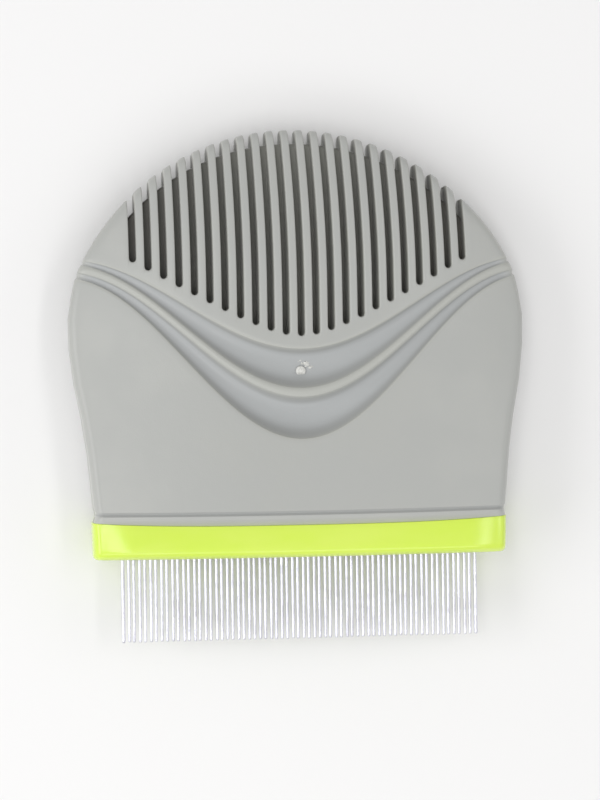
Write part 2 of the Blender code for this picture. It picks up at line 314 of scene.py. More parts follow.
@dataclass(frozen=True)
class DrawnSteel:
    """Bright steel wire with fine lines drawn along it."""

    bright: Colour = (0.74, 0.74, 0.81)
    dull: Colour = (0.60, 0.60, 0.66)
    line_stretch: Place = (16000.0, 260.0, 16000.0)
    line_depth: float = 0.0000005
    stain_scale: float = 380.0
    roughness: Pair = (0.16, 0.34)

    def material(self, name: str) -> bpy.types.Material:
        """Wire the finish.

        Args:
            name: Name of the material.

        Returns:
            The material.
        """
        board = NodeBoard(name)
        lines = board.noise(1.0, 3.0, 0.6, board.stretched(self.line_stretch))
        stains = board.noise(self.stain_scale)
        board.link(board.blend(board.remap(stains, (0.45, 0.75), (0.0, 0.8)), self.bright,
                               self.dull), "Base Color")
        board.link(board.remap(board.add(lines, stains), (0.5, 1.5), self.roughness), "Roughness")
        board.link(board.bump(lines, self.line_depth), "Normal")
        board.set(metallic=1.0)
        return board.material


@dataclass(frozen=True)
class DarkMoulding:
    """Plain dark grey moulding with the frosted skin of a spark-worn tool."""

    body: Colour = (0.10, 0.105, 0.10)
    worn: Colour = (0.15, 0.155, 0.15)
    worn_scale: float = 160.0
    frost_scale: float = 3200.0
    frost_depth: float = 0.00001
    roughness: Pair = (0.45, 0.65)

    def material(self, name: str) -> bpy.types.Material:
        """Wire the finish.

        Args:
            name: Name of the material.

        Returns:
            The material.
        """
        board = NodeBoard(name)
        frost = board.noise(self.frost_scale, 3.0, 0.6)
        worn = board.noise(self.worn_scale, 3.0)
        board.link(board.blend(worn, self.body, self.worn), "Base Color")
        board.link(board.remap(frost, (0.3, 0.7), self.roughness), "Roughness")
        board.link(board.bump(frost, self.frost_depth), "Normal")
        return board.material


@dataclass(frozen=True)
class TornPlastic:
    """Pale broken plastic, where the moulding's gate was twisted off."""

    body: Colour = (0.56, 0.56, 0.53)
    stressed: Colour = (0.70, 0.70, 0.67)
    crumb_scale: float = 2600.0
    crumb_depth: float = 0.00006
    roughness: Pair = (0.3, 0.55)

    def material(self, name: str) -> bpy.types.Material:
        """Wire the finish.

        Args:
            name: Name of the material.

        Returns:
            The material.
        """
        board = NodeBoard(name)
        crumbs = board.noise(self.crumb_scale, 3.0, 0.65)
        board.link(board.blend(board.remap(crumbs, (0.4, 0.6)), self.body, self.stressed),
                   "Base Color")
        board.link(board.remap(crumbs, (0.3, 0.7), self.roughness), "Roughness")
        board.link(board.bump(crumbs, self.crumb_depth), "Normal")
        return board.material


@dataclass(frozen=True)
class PaleFloor:
    """Pale matte sheet that the comb lies on."""

    body: Colour = (0.895, 0.890, 0.888)
    cloud_scale: float = 12.0
    cloud_shade: float = 0.985
    roughness: float = 0.75

    def material(self, name: str) -> bpy.types.Material:
        """Wire the finish.

        Args:
            name: Name of the material.

        Returns:
            The material.
        """
        board = NodeBoard(name)
        shade = tuple(channel * self.cloud_shade for channel in self.body)
        board.link(board.blend(board.noise(self.cloud_scale), self.body, shade), "Base Color")
        board.set(roughness=self.roughness, specular_ior_level=0.2)
        return board.material


# ---------------------------------------------------------------------------------------------
# Mesh work that the pieces share
# ---------------------------------------------------------------------------------------------

def blend_between(low: float, high: float, share: float) -> float:
    """Value at a share of the way from one number to another."""
    return low + (high - low) * share


def ramp(value: float, low: float, high: float) -> float:
    """Smooth step from 0 at one value to 1 at another."""
    share = min(max((value - low) / (high - low), 0.0), 1.0)
    return share * share * (3.0 - 2.0 * share)


def round_over(gap: float, radius: float) -> float:
    """How far a rounded edge has dropped at a distance from the edge.

    Args:
        gap: Distance from the edge.
        radius: Radius of the rounding.

    Returns:
        The drop, which is the radius at the edge itself.
    """
    if gap >= radius:
        return 0.0
    return radius - math.sqrt(max(radius ** 2 - (radius - max(gap, 0.0)) ** 2, 0.0))


def wall_share(gap: float, width: float, wall: float) -> float:
    """Share of the full height at a distance from an outline with an elliptical edge.

    Args:
        gap: Distance from the outline.
        width: Width of the rounded edge in plan.
        wall: Share of the height that is an upright wall.

    Returns:
        The share, which is one beyond the rounded edge.
    """
    if gap >= width:
        return 1.0
    return wall + (1.0 - wall) * math.sqrt(max(1.0 - (1.0 - max(gap, 0.0) / width) ** 2, 0.0))


def even(count: int) -> list[Station]:
    """Pairs at even shares of a band, without its last line."""
    return [(step / count, 0.0) for step in range(count)]


def eased(count: int) -> list[Station]:
    """Pairs that crowd towards both edges of a band, without its last line."""
    return [((1.0 - math.cos(math.pi * step / count)) / 2.0, 0.0) for step in range(count)]


def frame_box(node: str) -> tuple[Vector, Vector]:
    """Lowest and highest corner of a CAD node, in millimetres."""
    low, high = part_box(node)
    return low / MM, high / MM


def drop_walls(shape: bmesh.types.BMesh, levels: Iterable[float]) -> None:
    """Carry every open edge of a half straight down, level by level.

    Args:
        shape: The half.
        levels: Heights of the levels.
    """
    for level in levels:
        rim = [edge for edge in shape.edges if edge.is_boundary]
        made = bmesh.ops.extrude_edge_only(shape, edges=rim)["geom"]
        for vert in (item for item in made if isinstance(item, bmesh.types.BMVert)):
            vert.co.z = min(vert.co.z, level)


def sink_channel(shape: bmesh.types.BMesh, is_mouth: Callable[[bmesh.types.BMVert], bool],
                 end: Callable[[float], float]) -> None:
    """Carry part of the lowest open edge inwards along Y, as the roof of a channel.

    Args:
        shape: The half.
        is_mouth: Whether a vertex of the open edge is on the channel's mouth.
        end: Y of the channel's inner end at each X.
    """
    mouth = [edge for edge in shape.edges
             if edge.is_boundary and all(is_mouth(vert) for vert in edge.verts)]
    made = bmesh.ops.extrude_edge_only(shape, edges=mouth)["geom"]
    for vert in (item for item in made if isinstance(item, bmesh.types.BMVert)):
        vert.co.y = end(vert.co.x)


def mirror_front(shape: bmesh.types.BMesh) -> None:
    """Mirror a front half at the mid-plane, weld it and point its faces outwards."""
    geometry = shape.verts[:] + shape.edges[:] + shape.faces[:]
    bmesh.ops.mirror(shape, geom=geometry, matrix=Matrix.Identity(4), merge_dist=MERGE_DISTANCE,
                     axis="Z")
    bmesh.ops.remove_doubles(shape, verts=shape.verts, dist=MERGE_DISTANCE)
    bmesh.ops.dissolve_degenerate(shape, dist=MERGE_DISTANCE, edges=shape.edges)
    bmesh.ops.recalc_face_normals(shape, faces=shape.faces)


def finish_piece(name: str, shape: bmesh.types.BMesh, material: bpy.types.Material,
                 replaced: Iterable[str] = (), height: float = 0.0,
                 sharp: float = SHARP_ANGLE) -> bpy.types.Object:
    """Turn a bmesh into a piece of the comb.

    Args:
        name: Name of the piece.
        shape: Its bmesh, in millimetres, which is freed.
        material: Its material.
        replaced: CAD nodes that the piece stands for.
        height: How far to raise it, in millimetres.
        sharp: Angle in degrees above which an edge stays crisp.

    Returns:
        The object.
    """
    bmesh.ops.translate(shape, verts=shape.verts, vec=(0.0, 0.0, height))
    bmesh.ops.scale(shape, verts=shape.verts, vec=(MM, MM, MM))
    mesh = bpy.data.meshes.new(name)
    shape.to_mesh(mesh)
    shape.free()
    mesh.materials.append(material)
    mesh.shade_smooth()
    mesh.set_sharp_from_angle(angle=math.radians(sharp))
    piece = bpy.data.objects.new(name, mesh)
    bpy.context.scene.collection.objects.link(piece)
    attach(piece, BODY)
    if replaced:
        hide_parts(*replaced)
    LOG.info("%s: %d faces", name, len(mesh.polygons))
    return piece


# ---------------------------------------------------------------------------------------------
# Grip
# ---------------------------------------------------------------------------------------------

class Band(Enum):
    """Bands of the grip's face, from the comb bar up to the rim."""

    LIP = 0
    LIP_GROOVE = 1
    HEEL = 2
    LOWER_GROOVE = 3
    RIDGE = 4
    UPPER_GROOVE = 5
    LAND = 6
    FINS = 7
    TIPS = 8


BAND_STATIONS: dict[Band, list[Station]] = {
    Band.LIP: [(0.0, 0.0), (0.05, 0.0), (0.14, 0.0), (0.28, 0.0), (0.5, 0.0), (0.75, 0.0)],
    Band.LIP_GROOVE: even(6),
    Band.HEEL: [(0.0, 0.0), (0.0, 0.12), (0.0, 0.3), (0.1, 0.0), (0.25, 0.0), (0.4, 0.0),
                (0.55, 0.0), (0.7, 0.0), (0.83, 0.0), (0.92, 0.0), (1.0, -0.6), (1.0, -0.35),
                (1.0, -0.18), (1.0, -0.07)],
    Band.LOWER_GROOVE: eased(14),
    Band.RIDGE: eased(8),
    Band.UPPER_GROOVE: eased(16),
    Band.LAND: [(0.0, 0.0), (0.0, 0.07), (0.0, 0.18), (0.0, 0.35), (0.0, 0.6), (0.5, 0.0),
                (1.0, -0.45), (1.0, -0.25), (1.0, -0.15), (1.0, -0.06)],
    Band.FINS: [(0.0, 0.0), (0.14, 0.0), (0.28, 0.0), (0.42, 0.0), (0.56, 0.0), (0.7, 0.0),
                (0.82, 0.0), (1.0, -0.5), (1.0, -0.3), (1.0, -0.14), (1.0, -0.04)],
    Band.TIPS: [(0.0, 0.0), (0.3, 0.0), (0.55, 0.0), (0.75, 0.0), (0.88, 0.0), (0.95, 0.0),
                (0.985, 0.0), (1.0, 0.0)],
}


SIDE_SHARES = (0.012, 0.03, 0.05, 0.2, 0.35, 0.506, 0.6, 0.68, 0.76, 0.83, 0.885, 0.925, 0.955,
               0.978, 0.992, 1.0)


@dataclass(frozen=True)
class Row:
    """One row of the grip's vertices, at a share of its band plus an offset."""

    band: Band
    share: float
    offset: float


@dataclass(frozen=True)
class Column:
    """One column of the grip's vertices, at a place across it or out towards its outline."""

    x: float
    outward: float = 0.0
    in_slot: bool = False


@dataclass(frozen=True)
class CreaseShadeLine:
    """A painted shade line along a groove, where shade falls in its crease, at a place from -1 to
    1 across it.
    """

    place: float
    width: float
    strength: float

    def at(self, across: float) -> float:
        """How much painted shade falls at one place across the groove."""
        return self.strength * math.exp(-((across - self.place) / self.width) ** 2)


@dataclass
class Grip:
    """The soft grip: a crowned half-round plate with fins, grooves and a lip above the bar."""

    half_thickness: float = 6.2
    rim_radius: float = 37.4
    rim_centre: float = 2.15
    rim_end: float = math.radians(26.0)
    side: tuple[Pair, ...] = ((-24.0, 32.15), (-20.5, 32.15), (-15.0, 32.4), (-7.0, 33.3),
                                 (1.5, 34.9), (8.7, 35.55), (13.0, 35.15), (18.545, 33.615))
    waist_depth: float = 0.38
    waist_reach: float = 0.95

    land_half_width: float = 6.0
    land_top: float = 13.0
    side_drops: Pair = (2.1, 4.0)
    side_drops_run: Pair = (-20.0, 20.0)
    rim_drop: float = 4.1
    widest: float = 35.55
    edge_width: float = 1.3
    edge_wall: float = 0.62
    # Strength of the painted highlight along the rounded outline.
    outline_highlight: float = 0.5
    crossing_start: float = 2.0
    crossing_steps: int = 40

    slot_count: int = 23
    slot_pitch: float = 2.33
    slot_radius: float = 0.55
    slot_lowest: float = 7.45
    slot_spread: float = 0.585
    slot_rounding: float = 3.85
    slot_edge: float = 0.25
    # Strength of the painted highlight on the rounded slot mouths.
    slot_mouth_highlight: float = 0.6
    slot_half_cells: int = 3
    fin_insets: tuple[float, ...] = (0.06, 0.15, 0.25)
    long_fin: float = 6.0
    slot_reach: float = 26.0
    tip_corner: float = 0.32
    web_half_thickness: float = 1.0
    web_radius: float = 35.35
    web_edge: float = 0.5
    web_wall: float = 0.4
    web_least: float = 0.6
    # Painted shade on the slot floors: its share at the middle and at the ends of the row, and how
    # it grows outwards.
    slot_floor_shade_shares: Pair = (0.42, 1.0)
    slot_floor_shade_power: float = 1.5
    lean: float = 0.0024
    lean_growth: float = 0.00004
    lean_from: float = 17.0
    lean_power: float = 1.8

    groove_reach: float = 36.0
    land_edge: Pair = (5.5, 14.1)
    ridge_edge: Pair = (-0.52, 19.5)
    ridge_foot: Pair = (-1.9, 19.6)
    heel_edge: Pair = (-8.35, 25.1)
    groove_share: float = 0.26
    groove_least: float = 0.1
    groove_powers: Pair = (2.2, 2.8)
    groove_flatness: float = 0.8
    # Painted shade in the grooves' hollows, and painted highlight on their shoulders and on the
    # ridge.
    groove_shade_run: Pair = (0.1, 0.7)
    shoulder_highlight_run: Pair = (0.0, 0.25)
    shoulder_highlight: float = 0.5
    ridge_crown: float = 0.22
    ridge_power: float = 2.4
    ridge_highlight: float = 0.35
    land_crown: float = 0.14
    land_crown_width: float = 0.6
    nick: float = 0.2
    fade: Pair = (0.3, 2.4)
    # Painted shade lines in the creases: under each groove's upper edge, at its foot and along the
    # lip groove; the groove lines fade near the outline.
    edge_crease_shade: CreaseShadeLine = CreaseShadeLine(0.84, 0.10, 0.5)
    foot_crease_shade: CreaseShadeLine = CreaseShadeLine(-0.74, 0.24, 0.45)
    lip_crease_shade: CreaseShadeLine = CreaseShadeLine(0.0, 0.5, 0.35)
    crease_shade_run: Pair = (0.5, 5.0)

    lip_groove: Pair = (-19.72, 0.2)
    lip_groove_half: float = 0.34
    lip_groove_depth: float = 0.3
    lip_groove_power: float = 1.5
    # Strength of the painted shade in the lip groove.
    lip_groove_shade: float = 0.6
    lip_levels: Pair = (4.72, 4.32)
    lip_power: float = 2.2
    # Strength of the painted highlight on the lip, brightest next to the bar.
    lip_highlight: float = 0.4
    end: Pair = (-21.6, 0.8)
    end_half_width: float = 32.0

    pocket_half_thickness: float = 1.6
    pocket_half_width: float = 29.2
    pocket_shoulder: float = -9.7
    pocket_top: float = 3.3
    pocket_top_half_width: float = 15.3
    pocket_play: float = 0.3
    parting: float = 0.045
    parting_half: float = 0.14
    parting_upright: float = 0.5

    gate: Pair = (0.0, 2.25)
    gate_reach: float = 1.5
    gate_flat: float = 0.4
    gate_depth: float = 0.22

    finish: SoftTouch = field(default_factory=SoftTouch)
    ends: dict[Row, float] = field(default_factory=dict)

    # -- outline ----------------------------------------------------------------------------

    def side_place(self, y: float) -> tuple[float, float]:
        """Half width of the grip below its round rim, and its slope there.

        Args:
            y: Place along the comb.

        Returns:
            The half width, and its change per millimetre of Y.
        """
        points = self.side
        index = max(i for i in range(len(points) - 1) if y >= points[i][0] or i == 0)
        (y0, x0), (y1, x1) = points[index], points[index + 1]
        slopes = [self.side_slope(index), self.side_slope(index + 1)]
        span = y1 - y0
        t = (y - y0) / span
        width = ((2 * t ** 3 - 3 * t ** 2 + 1) * x0 + (t ** 3 - 2 * t ** 2 + t) * span * slopes[0]
                 + (3 * t ** 2 - 2 * t ** 3) * x1 + (t ** 3 - t ** 2) * span * slopes[1])
        slope = ((6 * t ** 2 - 6 * t) * (x0 - x1) / span + (3 * t ** 2 - 4 * t + 1) * slopes[0]
                 + (3 * t ** 2 - 2 * t) * slopes[1])
        waist = self.waist_depth * math.exp(-((y - self.lip_groove[0]) / self.waist_reach) ** 2)
        return width - waist, slope

    def side_slope(self, index: int) -> float:
        """Slope of the side at one of its points, which at the last is the rim's own.

        Args:
            index: Which point.

        Returns:
            Change of half width per millimetre of Y.
        """
        if index == len(self.side) - 1:
            return -math.tan(self.rim_end)
        before = self.side[max(index - 1, 0)]
        after = self.side[index + 1]
        return (after[1] - before[1]) / (after[0] - before[0])

    def on_rim(self, x: float, y: float) -> bool:
        """Whether a place lies in the sector of the round rim."""
        return math.atan2(y - self.rim_centre, abs(x)) >= self.rim_end

    def inset(self, x: float, y: float) -> float:
        """Distance of a place from the outline.

        Args:
            x: Place across.
            y: Place along.

        Returns:
            The distance, above zero inside.
        """
        if self.on_rim(x, y):
            return self.rim_radius - math.hypot(x, y - self.rim_centre)
        width, slope = self.side_place(y)
        return (width - abs(x)) / math.hypot(1.0, slope)

    def half_width(self, y: float) -> float:
        """Half width of the outline at one place along the comb.

        Args:
            y: Place along.

        Returns:
            The half width.
        """
        rise = y - self.rim_centre
        if rise >= self.rim_radius * math.sin(self.rim_end):
            return math.sqrt(max(self.rim_radius ** 2 - rise ** 2, 0.0))
        return self.side_place(y)[0]

    # -- lines across the face --------------------------------------------------------------

    def wave(self, edge: Pair, x: float) -> float:
        """Place along the comb of a groove's edge."""
        return edge[0] + edge[1] * (1.0 - math.cos(math.pi * x / self.groove_reach)) / 2.0

    def wave_slope(self, edge: Pair, x: float) -> float:
        """How steeply a groove's edge climbs at one place across the comb."""
        turn = math.pi / self.groove_reach
        return edge[1] * turn * math.sin(turn * x) / 2.0

    def slot_bottom(self, x: float) -> float:
        """Lowest place of a slot at one place across the comb."""
        return (self.slot_lowest + math.hypot(self.slot_rounding, self.slot_spread * x)
                - self.slot_rounding)

    def slot_line(self, x: float) -> float:
        """Upper edge of the land: round at each slot's end and straight between two slots.

        Args:
            x: Place across.

        Returns:
            Its place along the comb.
        """
        last = (self.slot_count - 1) // 2
        index = min(round(abs(x) / self.slot_pitch), last)
        gap = abs(x) - index * self.slot_pitch
        level = self.slot_bottom(index * self.slot_pitch) + self.slot_radius
        if abs(gap) <= self.slot_radius + MERGE_DISTANCE:
            return level - math.sqrt(max(self.slot_radius ** 2 - gap ** 2, 0.0))
        if index == last and gap > 0.0:
            edge = last * self.slot_pitch + self.slot_radius
            return level + self.slot_bottom(x) - self.slot_bottom(edge)
        beside = index + (1 if gap > 0.0 else -1)
        there = self.slot_bottom(beside * self.slot_pitch) + self.slot_radius
        share = (abs(gap) - self.slot_radius) / (self.slot_pitch - 2.0 * self.slot_radius)
        return blend_between(level, there, share)

    def slot_gap(self, x: float, y: float) -> float:
        """Distance of a place from the edge of the nearest slot.

        Args:
            x: Place across.
            y: Place along.

        Returns:
            The distance, below zero inside a slot.
        """
        last = (self.slot_count - 1) // 2
        nearest = min(round(abs(x) / self.slot_pitch), last)
        gaps = []
        for index in (nearest - 1, nearest, nearest + 1):
            if abs(index) <= last:
                centre = index * self.slot_pitch
                below = max(self.slot_bottom(centre) + self.slot_radius - y, 0.0)
                gaps.append(math.hypot(abs(x) - centre, below) - self.slot_radius)
        return min(gaps)

    def corner(self, x: float) -> float:
        """How far a fin's tip is rounded back at one place across the comb."""
        return round_over(max(self.slot_gap(x, self.rim_centre + self.rim_radius), 0.0),
                          self.tip_corner)

    def line(self, index: int, x: float) -> float:
        """Where one of the lines between the bands lies.

        Args:
            index: Zero for the grip's lower end, and so on up to the rim.
            x: Place across.

        Returns:
            Its place along the comb.
        """
        across = min(abs(x) / self.end_half_width, 1.0)
        lip = self.lip_groove[0] + self.lip_groove[1] * across ** 2
        rim = self.rim_centre + math.sqrt(max(self.rim_radius ** 2 - x ** 2, 0.0))
        slots = self.slot_line(x)
        web = self.rim_centre + math.sqrt(max(self.web_radius ** 2 - x ** 2, 0.0))
        return (self.end[0] + self.end[1] * across ** 3,
                lip - self.lip_groove_half, lip + self.lip_groove_half,
                self.wave(self.heel_edge, x), self.wave(self.ridge_foot, x),
                self.wave(self.ridge_edge, x), self.wave(self.land_edge, x), slots,
                max(min(web, rim), slots + self.web_least * (rim - slots)),
                rim - self.corner(x))[index]

    def row_place(self, row: Row, x: float) -> float:
        """Where a row lies at one place across the comb.

        Args:
            row: The row.
            x: Place across.

        Returns:
            Its place along the comb.
        """
        low = self.line(row.band.value, x)
        high = self.line(row.band.value + 1, x)
        offset = row.offset
        if row.band is Band.FINS:
            offset *= min(1.0, (high - low) / self.long_fin)
        return low + row.share * (high - low) + offset

    def row_end(self, row: Row) -> float:
        """Place across at which a row meets the outline, found step by step.

        Args:
            row: The row.

        Returns:
            Its X on the right.
        """
        if row not in self.ends:
            crossing = Row(Band.LAND, 1.0, 0.0) if row.band in (Band.FINS, Band.TIPS) else row
            x = self.widest - self.crossing_start
            for _ in range(self.crossing_steps):
                x = (x + self.half_width(self.row_place(crossing, x))) / 2.0
            self.ends[row] = x - self.nick_at(row)
        return self.ends[row]

    def nick_at(self, row: Row) -> float:
        """How far the outline is nicked where a groove runs off it.

        Args:
            row: A row of vertices.

        Returns:
            The nick's depth at that row.
        """
        if row.band not in (Band.LOWER_GROOVE, Band.UPPER_GROOVE):
            return 0.0
        across = 2.0 * row.share - 1.0
        return self.nick * (1.0 - across ** 2) ** 2

    # -- heights ----------------------------------------------------------------------------

    def crown(self, x: float, y: float) -> float:
        """Height of the crown above the mid-plane.

        Args:
            x: Place across.
            y: Place along.

        Returns:
            The height.
        """
        across = max(abs(x) - self.land_half_width, 0.0) / (self.widest - self.land_half_width)
        rise = self.rim_centre + self.rim_radius - self.land_top
        along = max(y - self.land_top, 0.0) / rise
        side_drop = blend_between(*self.side_drops, ramp(y, *self.side_drops_run))
        return self.half_thickness - side_drop * across ** 2 - self.rim_drop * along ** 2

    def relief(self, row: Row, x: float, y: float) -> tuple[float, float, float]:
        """Depth of a place below the crown, with how much painted groove shade and painted edge
        highlight it gets.

        Args:
            row: The place's row.
            x: Place across.
            y: Place along.

        Returns:
            The depth, the painted groove shade and the painted edge highlight.
        """
        if row.band in (Band.LOWER_GROOVE, Band.UPPER_GROOVE):
            depth, hollow, edge = self.groove_relief(row, x)
            near = ramp(self.inset(x, y), 0.0, self.fade[1])
            return depth * blend_between(self.fade[0], 1.0, near), hollow * near, edge * near
        if row.band is Band.RIDGE:
            across = abs(2.0 * row.share - 1.0)
            # The ridge gets an even painted highlight.
            return self.ridge_crown * across ** self.ridge_power, 0.0, self.ridge_highlight
        if row.band is Band.LIP_GROOVE:
            across = 2.0 * row.share - 1.0
            dip = (1.0 - across ** 2) ** self.lip_groove_power
            # The lip groove gets a painted shade in its dip.
            return self.lip_groove_depth * dip, self.lip_groove_shade * dip, 0.0
        if row.band is Band.LIP:
            across = min(abs(x) / self.end_half_width, 1.0)
            drop = self.crown(x, y) - blend_between(*self.lip_levels, across ** 2)
            # The lip gets a painted highlight, brightest next to the bar.
            return (max(drop, 0.0) * (1.0 - row.share) ** self.lip_power, 0.0,
                    self.lip_highlight * (1.0 - row.share))
        gap = self.land_crown_width
        if row.band is Band.HEEL:
            gap = self.wave(self.heel_edge, x) - y
        if row.band is Band.LAND:
            gap = y - self.wave(self.land_edge, x)
        near = max(1.0 - gap / self.land_crown_width, 0.0)
        # Land and heel get a painted highlight next to the grooves.
        return self.land_crown * near ** 2, 0.0, self.shoulder_highlight * near ** 2

    def groove_relief(self, row: Row, x: float) -> tuple[float, float, float]:
        """Depth of a groove below the crown: steep at its upper edge and easier at its lower.

        Args:
            row: The place's row.
            x: Place across.

        Returns:
            The depth, the painted groove shade and the painted edge highlight.
        """
        upper = row.band is Band.UPPER_GROOVE
        top, foot = ((self.land_edge, self.ridge_edge) if upper
                     else (self.ridge_foot, self.heel_edge))
        slope = (self.wave_slope(top, x) + self.wave_slope(foot, x)) / 2.0
        width = (self.wave(top, x) - self.wave(foot, x)) / math.hypot(1.0, slope)
        depth = self.groove_share * width + self.groove_least
        across = 2.0 * row.share - 1.0
        power = self.groove_powers[across > 0.0]
        dip = (1.0 - abs(across) ** power) ** self.groove_flatness
        shoulders = (self.ridge_crown, self.land_crown) if upper else (self.land_crown,
                                                                       self.ridge_crown)
        base = blend_between(*shoulders, row.share)
        # Painted highlight on the groove's shoulders, and painted shade in its hollow.
        edge = self.shoulder_highlight * (1.0 - ramp(dip, *self.shoulder_highlight_run))
        return base + depth * dip, ramp(dip, *self.groove_shade_run), edge

    def crease_shade_at(self, row: Row, x: float, y: float) -> float:
        """How much painted crease shade a place gets: a line under a groove's upper edge, more at
        its foot, and one along the lip groove.

        Args:
            row: The place's row.
            x: Place across.
            y: Place along.

        Returns:
            The amount, from zero to one.
        """
        across = 2.0 * row.share - 1.0
        if row.band is Band.LIP_GROOVE:
            return self.lip_crease_shade.at(across)
        if row.band not in (Band.LOWER_GROOVE, Band.UPPER_GROOVE):
            return 0.0
        crease_shade_sum = self.edge_crease_shade.at(across) + self.foot_crease_shade.at(across)
        return crease_shade_sum * ramp(self.inset(x, y), *self.crease_shade_run)

    # -- mesh -------------------------------------------------------------------------------

    def rows(self) -> list[Row]:
        """The rows from the grip's lower end up to the rim."""
        return [Row(band, *station) for band in Band for station in BAND_STATIONS[band]]

    def columns(self) -> list[Column]:
        """The columns from left to right.

        Returns:
            Six cells for each slot, eight for each fin, and more out to each side.
        """
        cells = self.slot_half_cells
        across = [self.slot_radius * math.sin(math.radians(90.0 / cells * step))
                  for step in range(-cells, cells + 1)]
        width = self.slot_pitch - 2.0 * self.slot_radius
        offsets = [*self.fin_insets, width / 2.0,
                   *(width - step for step in reversed(self.fin_insets))]
        middle = []
        for index in range(self.slot_count):
            centre = (index - (self.slot_count - 1) / 2.0) * self.slot_pitch
            middle += [Column(centre + step, in_slot=True) for step in across]
            middle += [Column(centre + self.slot_radius + step) for step in offsets]
        middle = middle[:-len(offsets)]
        edge = middle[-1].x
        right = [Column(edge, share) for share in SIDE_SHARES]
        left = [Column(-edge, share) for share in reversed(SIDE_SHARES)]
        return left + middle + right

    def place(self, column: Column, row: Row) -> tuple[float, float]:
        """Place in plan of the vertex where a column meets a row.

        Args:
            column: The column.
            row: The row.

        Returns:
            Its X and Y, before the fins lean.
        """
        side = math.copysign(1.0, column.x)
        x = column.x
        if column.outward > 0.0:
            x = side * blend_between(abs(column.x), self.row_end(row), column.outward)
        return x, self.row_place(row, x)

    def lean_at(self, column: Column, y: float) -> float:
        """How far the supple fins lean to the left at a height along the comb."""
        reach = max(y - self.lean_from, 0.0) ** self.lean_power
        return -(self.lean + self.lean_growth * column.x) * reach * (1.0 - column.outward)

    def build(self) -> bmesh.types.BMesh:
        """Shape the grip's front half from a grid, then close and mirror it.

        Returns:
            The grip's bmesh.
        """
        rows = self.rows()
        columns = self.columns()
        last_column, last_row = len(columns) - 1, len(rows) - 1
        shape = bmesh.new()
        bmesh.ops.create_grid(shape, x_segments=last_column, y_segments=last_row, size=1.0)
        column_of = shape.verts.layers.int.new("column")
        row_of = shape.verts.layers.int.new("row")
        # Vertex layers of painted light and shade: shade in the grooves, highlight on the edges,
        # shade in the creases and on the slot floors.
        hollow = shape.verts.layers.float.new("hollow")
        edge = shape.verts.layers.float.new("edge")
        crease = shape.verts.layers.float.new("crease")
        shape.verts.layers.float.new("deep")
        for vert in shape.verts:
            vert[column_of] = round((vert.co.x + 1.0) / 2.0 * last_column)
            vert[row_of] = round((vert.co.y + 1.0) / 2.0 * last_row)
            column, row = columns[vert[column_of]], rows[vert[row_of]]
            x, y = self.place(column, row)
            depth, vert[hollow], vert[edge] = self.relief(row, x, y)
            vert[crease] = self.crease_shade_at(row, x, y)
            gap = self.inset(x, y) - self.nick_at(row)
            if row.band is Band.TIPS:
                gap -= self.corner(x) * (y - self.rim_centre) / self.rim_radius
            share = wall_share(gap, self.edge_width, self.edge_wall)
            chamfer = round_over(self.slot_gap(x, y), self.slot_edge)
            # Painted highlight on the rounded slot mouths and along the rounded outline.
            vert[edge] = max(vert[edge], self.slot_mouth_highlight * chamfer / self.slot_edge,
                             self.outline_highlight * (1.0 - share))
            height = (self.crown(x, y) - depth) * share - chamfer
            vert.co = (x + self.lean_at(column, y), y, height)
        self.sink_slots(shape, rows, columns, row_of, column_of)
        drop_walls(shape, (self.pocket_half_thickness,))
        sink_channel(shape, self.on_mouth, self.pocket_end)
        drop_walls(shape, (self.parting_half, 0.0))
        self.raise_parting(shape)
        mirror_front(shape)
        self.dent_gate(shape)
        return shape

    def sink_slots(self, shape: bmesh.types.BMesh, rows: list[Row], columns: list[Column],
                   row_of: bmesh.types.BMLayerItem, column_of: bmesh.types.BMLayerItem) -> None:
        """Sink the slots' faces to the web, give their floors a painted shade, and open them
        beyond the web's end.

        Args:
            shape: The front half.
            rows: The rows.
            columns: The columns.
            row_of: Layer that holds each vertex's row.
            column_of: Layer that holds each vertex's column.
        """
        first = next(i for i, row in enumerate(rows) if row.band is Band.FINS)
        open_from = next(i for i, row in enumerate(rows) if row.band is Band.TIPS)
        slots = [face for face in shape.faces
                 if all(columns[vert[column_of]].in_slot for vert in face.verts)
                 and all(vert[row_of] >= first for vert in face.verts)
                 and max(vert.co.x for vert in face.verts) - min(vert.co.x for vert in face.verts)
                 < self.slot_radius]
        made = bmesh.ops.extrude_face_region(shape, geom=slots)["geom"]
        lids = [face for face in slots if face.is_valid]
        bmesh.ops.delete(shape, geom=lids, context="FACES")
        floor = [item for item in made if isinstance(item, bmesh.types.BMFace)]
        deep = shape.verts.layers.float["deep"]
        for vert in {vert for face in floor for vert in face.verts}:
            x, y = self.place(columns[vert[column_of]], rows[vert[row_of]])
            # Painted shade on the slot floors, stronger towards both ends of the row.
            across = min(abs(x) / self.slot_reach, 1.0)
            vert[deep] = blend_between(*self.slot_floor_shade_shares, across ** self.slot_floor_shade_power)
            gap = self.line(Band.TIPS.value, x) - y
            vert.co.z = self.web_half_thickness * wall_share(gap, self.web_edge, self.web_wall)
        gone = [face for face in floor if all(vert[row_of] >= open_from for vert in face.verts)]
        bmesh.ops.delete(shape, geom=gone, context="FACES")
        ends = [face for face in shape.faces
                if all(vert[row_of] == len(rows) - 1 for vert in face.verts)]
        bmesh.ops.delete(shape, geom=ends, context="FACES")

    def on_mouth(self, vert: bmesh.types.BMVert) -> bool:
        """Whether a vertex of the lowest open edge is on the mouth of the core's pocket."""
        at_end = vert.co.y < self.line(0, vert.co.x) + MERGE_DISTANCE
        return at_end and abs(vert.co.x) < self.pocket_half_width + self.pocket_play

